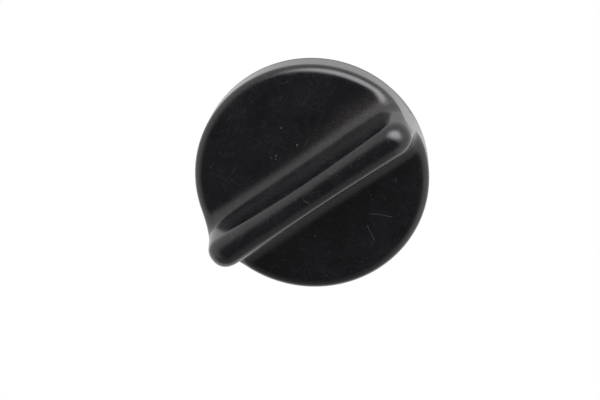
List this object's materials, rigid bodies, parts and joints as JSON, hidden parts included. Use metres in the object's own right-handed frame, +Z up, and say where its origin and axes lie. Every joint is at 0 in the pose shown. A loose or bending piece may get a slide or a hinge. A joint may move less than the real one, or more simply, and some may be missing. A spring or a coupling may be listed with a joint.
{
  "type": "oil filler cap",
  "caption": "Black moulded twist cap for an engine oil filler neck: round flange with a full-width grip bar, hollow bayonet stem beneath and a rubber sealing ring.",
  "frame": {"origin": "on the cap's axis, at the lower end of the stem, on which the cap stands", "axes": "+Z up the cap's axis out of the grip side, +X along the grip bar"},
  "size_m": [0.064, 0.064, 0.0408],
  "materials": {
    "black_moulding": "black glass-filled nylon, semi-gloss, with fine scratches and dust",
    "seal_rubber": "matt black oil-resistant rubber"
  },
  "bodies": {
    "root": {"cap_body": "black_moulding", "sealing_ring": "seal_rubber"}
  },
  "joints": []
}
